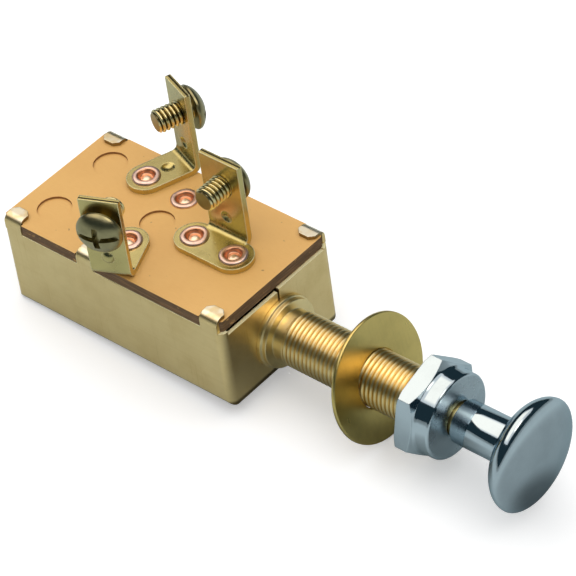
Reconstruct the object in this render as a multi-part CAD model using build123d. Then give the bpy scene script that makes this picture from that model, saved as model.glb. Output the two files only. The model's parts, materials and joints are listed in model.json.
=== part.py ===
"""Push-pull switch with three positions, two live terminals and one common terminal.

Millimetres. X runs along the stem towards the knob, Z is up, and the origin lies on the stem's axis in the
plane of the case's front face. The knob is modelled pushed in, which is the off position.
"""
from build123d import *
import math
import os

# Folded case
case_length = 56.3
case_width = 30.9
case_height = 18.1
case_sheet = 0.8
corner_bend = 1.8
floor_bend = 1.4
stem_above_floor = 8.0
seam_gap = 0.5
seam_offset = 0.4
flap_foot_gap = 0.3
left_flap_drop = 0.8
right_flap_drop = 0.3

# Tabs that fold over the board
tab_width = 4.2
tab_reach = 3.5
tab_bend = 1.7
tab_nip = 1.0
end_tab_inset = 3.1

# Terminal board
board_thickness = 2.4
board_setback = 0.15
board_front_setback = 0.6
board_corner = 1.3
tab_notch_play = 0.2

# Grid of contact places on the board
front_margin = 10.0
rear_margin = 7.3
side_margin = 7.55
blank_radius = 3.45
blank_step = 0.5

# Rivets
rivet_shank_radius = 1.75
rivet_rim_radius = 2.85
rivet_rim_height = 0.6
rivet_well_radius = 1.45
rivet_well_depth = 0.8
rivet_head_radius = 3.1
rivet_hole_play = 0.02

# Terminal brackets
bracket_sheet = 1.2
bracket_bend = 2.4
upright_height = 18.9
side_base_width = 7.9
right_base_reach = 8.8
left_base_reach = 8.2
right_lean = 20.0
left_lean = 23.0
dimple_radius = 1.35
dimple_depth = 0.4
dimple_from_rivet = 4.7
nib_radius = 1.3
nib_height = 0.65
nib_above_base = 4.0
front_base_radius = 4.0
front_upright_width = 9.6
front_base_reach = 4.3

# Terminal screws
screw_diameter = 4.8
screw_above_base = 11.5
screw_reach = 5.1
screw_point = 0.5
screw_head_radius = 4.55
screw_head_rim = 0.6
screw_head_height = 2.9
screw_head_gap = 1.0
screw_recess_depth = 1.8
screw_slot_width = 1.1
screw_hole_play = 0.03

# Threaded stem
stem_diameter = 11.11
stem_end = 39.6
stem_chamfer = 0.5
flange_radius = 7.4
flange_thickness = 2.0
flange_chamfer = 0.35
undercut_radius = 5.15
thread_start = 4.05
thread_groove_step = 1.5
thread_groove_depth = 0.5
thread_crest_width = 0.3
stem_root_radius = 5.0
staked_rim_radius = 6.4
staked_rim_thickness = 1.0
shaft_play = 0.05

# Panel washer, which hangs tilted on the stem
washer_radius = 12.55
washer_hole_radius = 5.9
washer_thickness = 0.8
washer_from_nut = 11.4
washer_drop = 0.1
washer_tilt = 12.2
washer_swing = 2.5

# Face nut
nut_across_flats = 18.0
nut_hex_length = 3.7
nut_turn = 17.0
nut_length = 7.7
nut_hex_chamfer = 0.75
nut_crown_slope = 0.55
nut_shoulder_length = 0.7
nut_nose_radius = 8.55
nut_front_rounding = 0.6
nut_front_cone = 0.5
nut_cap_thickness = 2.2
nut_end_gap = 0.4
nut_thread_play = 0.05
nut_mouth_radius = 3.45

# Shaft and knob
shaft_diameter = 6.35
shaft_stud_radius = 2.4
shaft_stud_length = 8.0
shaft_groove_radius = 2.2
shaft_groove_length = 2.8
shaft_tail_head = 2.4
knob_gap = 1.0
knob_neck_radius = 4.35
knob_neck_chamfer = 0.25
knob_length = 18.05
knob_radius = 11.15
knob_back_depth = 5.1
knob_root_fillet = 1.0
knob_crown = 2.4

# Slide block
slide_nose = 1.5
slide_rear_play = 0.35
slide_side_play = 0.3
slide_floor_play = 0.1
slide_rim_play = 1.0
slide_wall = 3.0
slide_relief_depth = 9.0
slide_edge = 1.4
slide_web_play = 0.2
slide_slot_play = 0.15

# Contact bridge and its spring
bridge_sheet = 0.8
bridge_button_radius = 2.0
bridge_button_top_radius = 1.4
bridge_button_height = 0.7
bridge_corner_radius = 3.6
bridge_running_gap = 0.05
bridge_side_play = 0.3
bridge_lift = 1.3
spring_wire_radius = 0.4
spring_mean_radius = 3.4
spring_turns = 4
spring_pocket_play = 0.5
spring_pocket_depth = 3.2

# Levels and places that follow from the sizes above
floor_outside = -stem_above_floor
floor_inside = floor_outside + case_sheet
wall_top = floor_outside + case_height
board_top = wall_top + board_thickness
bracket_top = board_top + bracket_sheet
contact_level = wall_top - blank_step
half_width = case_width / 2
stem_radius = stem_diameter / 2
shaft_radius = shaft_diameter / 2
nut_front = stem_end + nut_end_gap + nut_cap_thickness
nut_back = nut_front - nut_length
washer_x = nut_back - washer_from_nut
knob_back = nut_front + knob_gap
column_pitch = (case_length - front_margin - rear_margin) / 4
row_pitch = half_width - side_margin
columns = [-(front_margin + column_pitch * step) for step in range(5)]
middle_tab_x = (columns[2] + columns[3]) / 2
blank_places = [(columns[4], -row_pitch), (columns[4], row_pitch), (columns[2], 0)]
right_live = (columns[3], row_pitch)
left_live = (columns[2], -row_pitch)
common_places = [(columns[1], 0), (columns[0], 0)]
idle_places = [(columns[2], row_pitch), (columns[3], -row_pitch)]
plates_up = [right_live, left_live] + common_places
bridge_points = [(columns[4], row_pitch), (columns[4], -row_pitch), (columns[2], 0)]
bridge_under = contact_level - bridge_running_gap - bridge_button_height - bridge_sheet
slide_rear = -case_length + case_sheet + slide_rear_play
slide_front = columns[2] + bridge_corner_radius + bridge_side_play + slide_nose
slide_rim = contact_level - slide_rim_play
slide_seat = bridge_under - bridge_lift
spring_place = (sum(x for x, y in bridge_points) / 3, 0)


def block(x0, x1, y0, y1, z0, z1):
    """Box between two corners."""
    return Pos((x0 + x1) / 2, (y0 + y1) / 2, (z0 + z1) / 2) * Box(abs(x1 - x0), abs(y1 - y0), abs(z1 - z0))


def rod_x(radius, x0, x1):
    """Cylinder on the stem's axis."""
    return Pos(x0, 0, 0) * Rot(0, 90, 0) * Cylinder(radius, x1 - x0, align=(Align.CENTER, Align.CENTER, Align.MIN))


def post(radius, place, z0, z1):
    """Upright cylinder at a place on the board."""
    return Pos(place[0], place[1], z0) * Cylinder(radius, z1 - z0, align=(Align.CENTER, Align.CENTER, Align.MIN))


def turned(outline, axis=Axis.X):
    """Closed outline of straight runs, turned about an axis."""
    return revolve(make_face(Polyline(*outline, close=True)), axis)


def case_envelope(inset, lid):
    """Outer or inner envelope of the folded sheet: three rounded prisms meeting."""
    length = case_length - 2 * inset
    width = case_width - 2 * inset
    middle = -case_length / 2
    base = floor_outside + inset
    plan = extrude(Pos(middle, 0, base) * RectangleRounded(length, width, corner_bend - inset), lid - base)
    bend = floor_bend - inset
    tall = 2 * (lid - base)
    across = Plane.YZ.offset(-case_length) * Pos(0, lid) * RectangleRounded(width, tall, bend)
    along = Plane.XZ.offset(-case_width) * Pos(middle + bend, lid) * RectangleRounded(length + 2 * bend, tall, bend)
    return plan & extrude(across, 2 * case_length) & extrude(along, 2 * case_width)


def fold_over_tab(x_middle, side):
    """Tab of the case wall, folded inwards over the board."""
    outer = side * half_width
    inner = side * (half_width - case_sheet)
    tip = side * (half_width - tab_reach)
    lid = board_top + case_sheet
    corners = [(outer, wall_top), (outer, lid), (tip, lid), (tip, board_top), (inner, board_top), (inner, wall_top)]
    profile = make_face(Polyline(*corners, close=True))
    outer_corner = profile.vertices().sort_by_distance((outer, lid, 0))[0]
    profile = fillet(outer_corner, tab_bend)
    strip = extrude(Plane.YZ.offset(x_middle - tab_width / 2) * profile, tab_width)
    tip_edges = strip.edges().filter_by(Axis.Z).sort_by_distance((x_middle, tip, board_top))[:2]
    return chamfer(tip_edges, tab_nip)


tab_places = [(-case_length + end_tab_inset, 1), (-end_tab_inset, 1)]
tab_places += [(-case_length + end_tab_inset, -1), (middle_tab_x, -1), (-end_tab_inset, -1)]


def make_case():
    """One folded sheet: floor, sides, rear wall, two front flaps with a seam, and the tabs."""
    sheet = case_envelope(0, wall_top) - case_envelope(case_sheet, wall_top + case_sheet)
    front = case_sheet + corner_bend
    flap_edge = half_width - corner_bend
    sheet -= block(-front, -front + flap_foot_gap, -flap_edge, flap_edge, floor_outside, floor_inside)
    sheet -= block(-front, case_sheet, seam_offset - seam_gap / 2, seam_offset + seam_gap / 2, 0, wall_top)
    sheet -= block(-front, case_sheet, -flap_edge, seam_offset, wall_top - left_flap_drop, wall_top)
    sheet -= block(-front, case_sheet, seam_offset, flap_edge, wall_top - right_flap_drop, wall_top)
    sheet -= rod_x(stem_root_radius, -front, case_sheet)
    for x_middle, side in tab_places:
        sheet += fold_over_tab(x_middle, side)
    return sheet


def make_board():
    """Insulating board, notched for the tabs, with three half-sheared blanks as resting pads."""
    half = half_width - board_setback
    board = block(-case_length + board_setback, -board_front_setback, -half, half, wall_top, board_top)
    board = chamfer(board.edges().filter_by(Axis.Z), board_corner)
    for x_middle, side in tab_places:
        reach = tab_width / 2 + tab_notch_play
        root = side * (half_width - case_sheet)
        board -= block(x_middle - reach, x_middle + reach, root, side * case_width, wall_top, board_top)
    for place in blank_places:
        board -= post(blank_radius, place, board_top - blank_step, board_top)
        board += post(blank_radius, place, wall_top - blank_step, wall_top)
    for place in plates_up + idle_places:
        board -= post(rivet_shank_radius + rivet_hole_play, place, wall_top, board_top)
    return board


def make_rivet(place):
    """Semi-tubular rivet: flat contact head below, rolled rim and open well above."""
    seat = bracket_top if place in plates_up else board_top
    crest = (rivet_rim_radius + rivet_well_radius) / 2
    with BuildSketch(Plane.XZ) as section:
        with BuildLine():
            Polyline((0, contact_level), (rivet_head_radius, contact_level), (rivet_head_radius, wall_top),
                     (rivet_shank_radius, wall_top), (rivet_shank_radius, seat), (rivet_rim_radius, seat))
            ThreePointArc((rivet_rim_radius, seat), (crest, seat + rivet_rim_height),
                          (rivet_well_radius, seat))
            Polyline((rivet_well_radius, seat), (rivet_well_radius, seat - rivet_well_depth),
                     (0, seat - rivet_well_depth - rivet_well_radius / 3), (0, contact_level))
        make_face()
    return Pos(*place, 0) * revolve(section.sketch, Axis.Z)


def bent_strip(width, reach):
    """L of sheet in its own frame: base along +X from 0 to reach, upright at its far end."""
    far = reach + bracket_sheet
    top = board_top + upright_height
    corners = [(0, board_top), (far, board_top), (far, top), (reach, top), (reach, bracket_top), (0, bracket_top)]
    profile = make_face(Polyline(*corners, close=True))
    outer_corner = profile.vertices().sort_by_distance((far, board_top, 0))[0]
    profile = fillet(outer_corner, bracket_bend)
    inner_corner = profile.vertices().sort_by_distance((reach, bracket_top, 0))[0]
    profile = fillet(inner_corner, bracket_bend - bracket_sheet)
    return extrude(Plane.XZ.offset(-width / 2) * profile, width)


def cap(radius, height):
    """Low ball cap of a given foot radius and height, standing on the origin along +Z."""
    ball = (radius ** 2 + height ** 2) / (2 * height)
    return Pos(0, 0, height - ball) * Sphere(ball)


def press_nib(strip, reach):
    """Dent in the upright's inner face, and the nib outside that keeps a wire tag from turning."""
    press = Rot(0, 90, 0) * cap(nib_radius, nib_height)
    level = bracket_top + nib_above_base
    outer = reach + bracket_sheet
    room = 2 * nib_radius
    outside = block(reach + nib_height, outer + room, -room, room, level - room, level + room)
    nib = (Pos(outer, 0, level) * press) & outside
    return strip + nib - Pos(reach, 0, level) * press


def tapped_hole(reach):
    """Screw hole through an upright, in the bracket's own frame."""
    hole = Cylinder(screw_diameter / 2 + screw_hole_play, 2 * bracket_bend + 2 * bracket_sheet)
    return Pos(reach, 0, bracket_top + screw_above_base) * Rot(0, 90, 0) * hole


def side_terminal(base_reach):
    """Single-rivet bracket in its own frame: rivet at the origin, upright towards +X."""
    strip = bent_strip(side_base_width, base_reach)
    strip += post(side_base_width / 2, (0, 0), board_top, bracket_top)
    strip -= tapped_hole(base_reach)
    strip -= post(rivet_shank_radius + rivet_hole_play, (0, 0), board_top, bracket_top)
    strip -= Pos(dimple_from_rivet, 0, bracket_top) * Rot(180, 0, 0) * cap(dimple_radius, dimple_depth)
    return press_nib(strip, base_reach)


def front_terminal(base_reach):
    """Two-rivet bracket in its own frame: rivets on the Y axis, upright towards +X."""
    span = abs(common_places[1][0] - common_places[0][0])
    strip = bent_strip(front_upright_width, base_reach)
    plan = Pos(0, 0, board_top) * Rot(0, 0, 90) * SlotCenterToCenter(span, 2 * front_base_radius)
    strip += extrude(plan, bracket_sheet)
    strip -= tapped_hole(base_reach)
    for end in (-span / 2, span / 2):
        strip -= post(rivet_shank_radius + rivet_hole_play, (0, end), board_top, bracket_top)
    return press_nib(strip, base_reach)


def terminal_screw(reach):
    """Binding-head screw in its bracket's frame, head outwards, with a slot and a cross cut in it."""
    face = reach + bracket_sheet + screw_head_gap
    point = reach - screw_reach
    radius = screw_diameter / 2
    with BuildSketch(Plane.XZ) as section:
        with BuildLine():
            Polyline((point, 0), (point, radius - screw_point), (point + screw_point, radius), (face, radius),
                     (face, screw_head_radius), (face + screw_head_rim, screw_head_radius))
            TangentArc((face + screw_head_height, 0), (face + screw_head_rim, screw_head_radius), tangent=(0, 1))
            Line((face + screw_head_height, 0), (point, 0))
        make_face()
    screw = revolve(section.sketch, Axis.X)
    depth = face + screw_head_height - screw_recess_depth
    end = face + 2 * screw_head_height
    half_slot = screw_slot_width / 2
    screw -= block(depth, end, -screw_head_radius, screw_head_radius, -half_slot, half_slot)
    cross = screw_head_radius / 2
    screw -= block(depth, end, -half_slot, half_slot, -cross, cross)
    return Pos(0, 0, bracket_top + screw_above_base) * screw


terminal_frames = {
    "right": (Pos(*right_live, 0) * Rot(0, 0, 90 - right_lean), side_terminal, right_base_reach),
    "left": (Pos(*left_live, 0) * Rot(0, 0, left_lean - 90), side_terminal, left_base_reach),
    "front": (Pos((common_places[0][0] + common_places[1][0]) / 2, 0, 0) * Rot(0, 0, 90), front_terminal,
              front_base_reach),
}


def make_stem():
    """Turned bushing: staked rim inside the case, flange outside, undercut, and ring grooves for the thread."""
    inside = -case_sheet - staked_rim_thickness
    bore = shaft_radius + shaft_play
    first_crest = thread_start + stem_radius - undercut_radius
    last_crest = stem_end - stem_chamfer
    groove_count = int((last_crest - first_crest) / thread_groove_step)
    grooves = []
    for number in range(groove_count):
        crest = first_crest + number * thread_groove_step
        root = crest + (thread_groove_step + thread_crest_width) / 2
        grooves += [(crest, stem_radius), (crest + thread_crest_width, stem_radius)]
        grooves += [(root, stem_radius - thread_groove_depth)]
    grooves += [(first_crest + groove_count * thread_groove_step, stem_radius)]
    return turned([
        (inside, bore), (inside, staked_rim_radius), (-case_sheet, staked_rim_radius),
        (-case_sheet, stem_root_radius), (0, stem_root_radius), (0, flange_radius),
        (flange_thickness - flange_chamfer, flange_radius), (flange_thickness, flange_radius - flange_chamfer),
        (flange_thickness, undercut_radius), (thread_start, undercut_radius), *grooves,
        (last_crest, stem_radius), (stem_end, stem_radius - stem_chamfer), (stem_end, bore),
    ])


def make_washer():
    """Flat washer, hanging on the stem with its top leaning back and swung a little to one side."""
    ring = Cylinder(washer_radius, washer_thickness) - Cylinder(washer_hole_radius, 2 * washer_thickness)
    ring = chamfer(ring.edges(), washer_thickness / 8)
    return Pos(washer_x, 0, -washer_drop) * Rot(0, 0, washer_swing) * Rot(0, 90 - washer_tilt, 0) * ring


def make_nut():
    """Face nut: chamfered hexagon that runs out into a round nose, closed to a shaft hole in front."""
    inscribed = nut_across_flats / 2
    corner = inscribed / math.cos(math.pi / 6)
    hexagon = Plane.YZ.offset(nut_back) * Rot(0, 0, nut_turn) * RegularPolygon(corner, 6)
    hex_front = nut_back + nut_hex_length
    rise = (corner - inscribed) * nut_crown_slope
    rim = nut_front - nut_front_cone
    crown = turned([
        (nut_back, 0), (nut_back, corner - nut_hex_chamfer), (nut_back + nut_hex_chamfer / 2, corner),
        (hex_front - rise, corner), (hex_front, inscribed), (hex_front, 0),
    ])
    half_nose = make_face(Polyline(
        (hex_front, 0), (hex_front, inscribed), (hex_front + nut_shoulder_length, nut_nose_radius),
        (rim, nut_nose_radius), (nut_front, nut_mouth_radius), (nut_front, 0), close=True))
    rim_corner = half_nose.vertices().sort_by_distance((rim, nut_nose_radius, 0))[0]
    nose = revolve(fillet(rim_corner, nut_front_rounding), Axis.X)
    nut = (extrude(hexagon, nut_hex_length) & crown) + nose
    nut -= rod_x(stem_radius + nut_thread_play, nut_back, nut_front - nut_cap_thickness)
    return nut - rod_x(nut_mouth_radius, nut_back, nut_front)


def make_shaft():
    """Plunger shaft: headed tail with a groove for the slide block, plain bearing length, stud for the knob."""
    groove_start = slide_front - shaft_groove_length + slide_web_play / 2
    groove_end = groove_start + shaft_groove_length
    tail = groove_start - shaft_tail_head
    return turned([
        (tail, 0), (tail, shaft_radius), (groove_start, shaft_radius), (groove_start, shaft_groove_radius),
        (groove_end, shaft_groove_radius), (groove_end, shaft_radius), (knob_back, shaft_radius),
        (knob_back, shaft_stud_radius), (knob_back + shaft_stud_length, shaft_stud_radius),
        (knob_back + shaft_stud_length, 0),
    ])


def make_knob():
    """Mushroom knob: plain neck, filleted root, and a head of two half ellipses that meet at the rim."""
    front = knob_back + knob_length
    rim = front - knob_crown
    root_angle = math.asin(knob_neck_radius / knob_radius)
    root = rim - knob_back_depth * math.cos(root_angle)
    with BuildSketch(Plane.XZ) as section:
        with BuildLine():
            Polyline((front, 0), (knob_back, 0), (knob_back, knob_neck_radius), (root, knob_neck_radius))
            EllipticalCenterArc((rim, 0), knob_back_depth, knob_radius, start_angle=90,
                                arc_size=90 - math.degrees(root_angle))
            EllipticalCenterArc((rim, 0), knob_crown, knob_radius, start_angle=0, arc_size=90)
        make_face()
    corner = section.sketch.vertices().sort_by_distance((root, 0, knob_neck_radius))[0]
    knob = revolve(fillet(corner, knob_root_fillet), Axis.X)
    knob = chamfer(knob.edges().sort_by(Axis.X)[0], knob_neck_chamfer)
    return knob - rod_x(shaft_stud_radius, knob_back, knob_back + shaft_stud_length)


def bridge_outline(margin):
    """Three-cornered outline with a round end at each contact button."""
    ends = Sketch() + [Pos(*place) * Circle(bridge_corner_radius + margin) for place in bridge_points]
    return make_hull(ends.edges())


def make_slide():
    """Moulded slide block: rim round the contact bridge, spring pocket, hollow underside and shaft slot."""
    half = half_width - case_sheet - slide_side_play
    base = floor_inside + slide_floor_play
    slide = block(slide_rear, slide_front, -half, half, base, slide_rim)
    slide = chamfer(slide.edges().filter_by(Axis.X), slide_edge)
    slide = chamfer(slide.edges().filter_by(Axis.Y).group_by(Axis.Z)[0], slide_edge)
    slide -= extrude(Pos(0, 0, slide_seat) * bridge_outline(bridge_side_play), slide_rim - slide_seat)
    pocket = spring_mean_radius + spring_wire_radius + spring_pocket_play
    slide -= post(pocket, spring_place, slide_seat - spring_pocket_depth, slide_seat)
    web_back = slide_front - shaft_groove_length + slide_web_play
    slide -= block(slide_rear + slide_wall, web_back, -half + slide_wall, half - slide_wall, base,
                   base + slide_relief_depth)
    throat = shaft_groove_radius + slide_slot_play
    slide -= block(web_back, slide_front, -throat, throat, base, 0) + rod_x(throat, web_back, slide_front)
    head = shaft_radius + slide_slot_play
    return slide - rod_x(head, web_back - shaft_tail_head - slide_wall, web_back)


def make_bridge():
    """Contact bridge: three-cornered plate with a coined, flat-topped button at each corner."""
    plate = extrude(Pos(0, 0, bridge_under) * bridge_outline(0), bridge_sheet)
    for place in bridge_points:
        foot = Pos(*place, bridge_under + bridge_sheet)
        plate += foot * Cone(bridge_button_radius, bridge_button_top_radius, bridge_button_height,
                             align=(Align.CENTER, Align.CENTER, Align.MIN))
    return plate


def make_spring():
    """Coil spring, squeezed between its pocket and the bridge."""
    low = slide_seat - spring_pocket_depth + spring_wire_radius
    rise = bridge_under - spring_wire_radius - low
    path = Helix(rise / spring_turns, rise, spring_mean_radius)
    wire = Plane(path @ 0, z_dir=path % 0) * Circle(spring_wire_radius)
    return Pos(*spring_place, low) * sweep(wire, path, is_frenet=True)


parts = {
    "case": make_case(),
    "terminal_board": make_board(),
    "stem_bushing": make_stem(),
    "panel_washer": make_washer(),
    "face_nut": make_nut(),
    "plunger_shaft": make_shaft(),
    "pull_knob": make_knob(),
    "slide_block": make_slide(),
    "contact_bridge": make_bridge(),
    "bridge_spring": make_spring(),
}
for side, (frame, bracket, reach) in terminal_frames.items():
    parts[f"{side}_terminal"] = frame * bracket(reach)
    parts[f"{side}_terminal_screw"] = frame * terminal_screw(reach)
for number, place in enumerate(plates_up + idle_places, start=1):
    parts[f"contact_rivet_{number}"] = make_rivet(place)

os.makedirs("parts", exist_ok=True)
for name, solid in parts.items():
    export_step(solid, f"parts/{name}.step")
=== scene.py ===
"""Looks of the push-pull switch: threads, screw heads, rivets, finishes and a plain studio stage."""

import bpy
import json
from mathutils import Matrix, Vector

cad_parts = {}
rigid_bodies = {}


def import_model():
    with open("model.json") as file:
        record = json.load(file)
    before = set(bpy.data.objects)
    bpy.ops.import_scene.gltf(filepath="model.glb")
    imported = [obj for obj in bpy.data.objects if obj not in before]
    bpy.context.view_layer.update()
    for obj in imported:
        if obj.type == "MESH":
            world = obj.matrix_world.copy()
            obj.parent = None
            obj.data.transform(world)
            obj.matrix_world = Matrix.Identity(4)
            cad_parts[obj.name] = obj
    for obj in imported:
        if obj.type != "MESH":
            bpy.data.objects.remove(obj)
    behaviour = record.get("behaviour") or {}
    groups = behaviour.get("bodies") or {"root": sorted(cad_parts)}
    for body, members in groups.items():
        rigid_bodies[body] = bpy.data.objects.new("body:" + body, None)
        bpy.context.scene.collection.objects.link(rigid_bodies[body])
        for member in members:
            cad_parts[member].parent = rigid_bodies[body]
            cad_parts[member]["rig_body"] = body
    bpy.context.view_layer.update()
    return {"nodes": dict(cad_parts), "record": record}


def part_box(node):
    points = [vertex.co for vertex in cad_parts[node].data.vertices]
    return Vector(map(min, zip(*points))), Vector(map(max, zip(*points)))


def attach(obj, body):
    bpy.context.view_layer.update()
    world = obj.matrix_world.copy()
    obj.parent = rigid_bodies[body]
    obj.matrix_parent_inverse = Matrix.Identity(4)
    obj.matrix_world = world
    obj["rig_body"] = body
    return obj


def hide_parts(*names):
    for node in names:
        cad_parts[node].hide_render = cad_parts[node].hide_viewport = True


bl_info = {
    "name": "Push-pull switch",
    "version": (1, 0, 0),
    "blender": (4, 5, 0),
    "location": "View3D > Sidebar > Switch",
    "description": "Dresses the push-pull switch: threads, screw heads, rivets, finishes and a studio stage",
    "category": "Object",
}

import json
import math

import bmesh
import bpy
import numpy as np
from mathutils import Matrix, Vector

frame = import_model()
MOUNTS = {mount["name"]: mount for mount in frame["record"]["mounts"]}
SIDES = ("right", "left", "front")
RIVETS = [f"contact_rivet_{number}" for number in range(1, 7)]
MM = 0.001
TAU = 2.0 * math.pi
BLACK = (0.0, 0.0, 0.0)
WHITE = (1.0, 1.0, 1.0)
# Play of the shaft in the stem and of the nut on the stem
PLAY = 0.05 * MM
# Points nearer to each other than this become one
WELD = 2e-6
# Radius of a ring that the weld closes to a point on the axis
ON_AXIS = 1e-6
# Points on each rounded corner of an outline, and rows on each turn of a thread
CORNER_STEPS = 6
THREAD_ROWS = 14
# Studio, in metres
TABLE_RADIUS = 4.0
ROOM_RADIUS = 1.5
PANEL_PLACE = (-0.05, 0.0, 0.80)
PANEL_SIDES = (1.9, 1.4)
# Painted shadow patches of the table as metal shows it: x, y, inner and outer radius in mm, brightness
PAINTED_SHADOW_PATCHES = (
    (80.0, 10.0, 16.0, 58.0, 0.70),
    (62.5, 2.5, 3.0, 12.0, 0.45),
    (18.0, -12.0, 4.0, 32.0, 0.35),
)


def linear(red, green, blue):
    """Scene colour of a screen colour given from 0 to 255."""
    values = np.array((red, green, blue)) / 255.0
    return tuple(np.where(values <= 0.04045, values / 12.92, ((values + 0.055) / 1.055) ** 2.4))


def scaled(tone, share):
    """Colour multiplied by one share, or by a share each for red, green and blue."""
    return tuple(np.multiply(tuple(tone), share))


def size(label, words, millimetres):
    """Length property, given in millimetres."""
    return bpy.props.FloatProperty(name=label, description=words, default=millimetres * MM, unit="LENGTH",
                                   precision=5)


def tilt(label, words, degrees):
    """Angle property, given in degrees."""
    return bpy.props.FloatProperty(name=label, description=words, default=math.radians(degrees),
                                   subtype="ANGLE")


def amount(label, words, value):
    """Property that is a plain number."""
    return bpy.props.FloatProperty(name=label, description=words, default=value)


def spot(label, words, x, y, z):
    """Place property, given in metres."""
    return bpy.props.FloatVectorProperty(name=label, description=words, subtype="XYZ", unit="LENGTH",
                                         default=(x, y, z))


def colour(label, words, red, green, blue):
    """Colour property, given as a screen colour."""
    return bpy.props.FloatVectorProperty(name=label, description=words, subtype="COLOR", size=3,
                                         default=linear(red, green, blue), min=0.0, max=1.0)


def light(label, words, red, green, blue):
    """Colour property of what metal shows, given as brightness, which may pass 1."""
    return bpy.props.FloatVectorProperty(name=label, description=words, subtype="COLOR", size=3,
                                         default=(red, green, blue))


class SwitchSizes(bpy.types.PropertyGroup):
    """Sizes of the pieces that are drawn finer than their solids."""

    sheet: size("Sheet", "Thickness of the case's sheet", 0.8)
    tab_rise: size("Tab rise", "Height of the tabs over the case's walls", 3.2)
    stem_diameter: size("Stem", "Outer diameter of the stem's thread", 11.11)
    stem_pitch: size("Stem pitch", "Pitch of the stem's thread", 0.985)
    stem_thread_start: size("Thread start", "Distance from the case to the first thread", 4.05)
    stem_root: size("Stem root", "Radius of the stem in the case's front wall", 5.0)
    staked_rim: size("Staked rim", "Radius of the stem's staked rim inside the case", 6.4)
    flange_thickness: size("Flange", "Thickness of the stem's flange", 2.0)
    undercut_radius: size("Undercut", "Radius of the plain neck behind the thread", 5.15)
    screw_diameter: size("Screw", "Outer diameter of a terminal screw", 4.8)
    screw_pitch: size("Screw pitch", "Pitch of a terminal screw's thread", 0.92)
    screw_reach: size("Screw reach", "Thread from the bracket's outer face to the point", 6.3)
    screw_gap: size("Head gap", "Gap under a terminal screw's head", 1.0)
    head_radius: size("Head", "Radius of a screw head", 4.55)
    head_rim: size("Head rim", "Height of a screw head's rim", 0.6)
    head_height: size("Head height", "Height of a screw head", 2.81)
    slot_width: size("Slot", "Width of the slot and of the cross recess", 1.1)
    cross_reach: size("Cross", "Half length of the cross recess", 2.3)
    washer_rim: size("Washer", "Outer radius of the washer", 12.53)
    washer_hole: size("Washer hole", "Radius of the washer's hole", 5.64)
    washer_thickness: size("Washer thickness", "Thickness of the washer", 0.8)
    washer_lean: tilt("Washer lean", "How far the washer's top leans back", 12.2)
    washer_swing: tilt("Washer swing", "How far the washer is swung to one side", 2.5)
    rivet_rim: size("Rivet rim", "Radius of a rivet's rolled rim", 2.85)
    rivet_roll: size("Rivet roll", "Height of a rivet's solid over its seat", 0.6)
    rivet_well: size("Rivet well", "Radius of a rivet's open well", 1.5)
    rivet_shank: size("Rivet shank", "Radius of a rivet's shank", 1.75)
    nut_flat: size("Nut flats", "Distance from the nut's axis to its flats", 9.0)
    nut_hexagon: size("Nut hexagon", "Length of the nut's hexagon", 3.7)
    nut_chamfer: size("Nut chamfer", "Chamfer of the hexagon's rear corners", 0.75)
    nut_shoulder: size("Nut shoulder", "Length of the hollow between hexagon and nose", 0.7)
    nut_nose: size("Nut nose", "Radius of the nut's round nose", 8.55)
    nut_rounding: size("Nut rounding", "Rounding of the nose's front edge", 0.6)
    nut_face: size("Nut face", "Thickness of the nose's front wall", 2.2)
    nut_mouth: size("Nut mouth", "Radius of the hole in the nut's front", 3.45)
    nut_turn: tilt("Nut turn", "How far the nut is turned about its axis", 17.0)
    knob_neck: size("Knob neck", "Radius of the knob's neck", 4.35)
    knob_crown: size("Knob crown", "Rise of the knob's face over its rim", 2.4)
    knob_back: size("Knob back", "Depth of the knob's round back", 5.1)
    knob_fillet: size("Knob fillet", "Length of the fillet on the neck", 1.0)
    knob_bore: size("Knob bore", "Radius of the knob's bore", 2.4)
    knob_socket: size("Knob socket", "Depth of the knob's bore", 8.0)


class SwitchFinishes(bpy.types.PropertyGroup):
    """Colours of the finishes."""

    case_brass: colour("Case", "Satin sheet brass", 240, 213, 154)
    case_stain: colour("Case stain", "Duller patches of the case", 222, 192, 130)
    stem_brass: colour("Stem", "Bright turned brass", 246, 222, 162)
    # Colour of the painted highlight on the upward faces of the bent tabs
    tab_highlight_tint: colour("Tabs", "Burnished brass of the bent tabs", 252, 246, 226)
    # Colour of the painted highlight along sheet edges and on the case's flap tops
    edge_highlight_tint: colour("Edges", "Rubbed edges of the brass sheet", 255, 246, 196)
    washer_brass: colour("Washer", "Rolled washer brass", 226, 201, 124)
    terminal_brass: colour("Terminals", "Yellow passivated brackets", 206, 190, 127)
    screw_metal: colour("Screw heads", "Dull plated screw heads", 166, 156, 116)
    screw_thread: colour("Screw threads", "Golden screw threads", 238, 222, 166)
    # Painted shade in the grooves of the stem's thread
    stem_groove_shade: colour("Stem grooves", "Deeper colour in the stem's thread", 220, 180, 104)
    # Painted shade in the grooves of the screws' threads
    screw_groove_shade: colour("Screw grooves", "Deeper colour in the screws' threads", 100, 84, 46)
    copper: colour("Rivets", "Bright copper rims", 243, 210, 197)
    copper_well: colour("Rivet wells", "Deeper colour in the wells", 240, 178, 140)
    # Colour of the painted highlight in the middle of the rivet wells
    rivet_glint_tint: colour("Rivet glint", "Rubbed middle of the wells", 254, 232, 205)
    chrome: colour("Plating", "Polished plating of nut and knob", 196, 209, 216)
    board_tan: colour("Board", "Face of the fibre board", 228, 177, 101)
    board_edge: colour("Board edge", "Cut edges of the fibre board", 98, 73, 45)
    board_shear: colour("Board shear", "Sheared rims of the raised blanks", 150, 104, 58)
    moulding: colour("Slide", "Dark moulded slide block", 58, 42, 34)
    wire: colour("Spring", "Drawn spring wire", 190, 190, 188)


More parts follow.
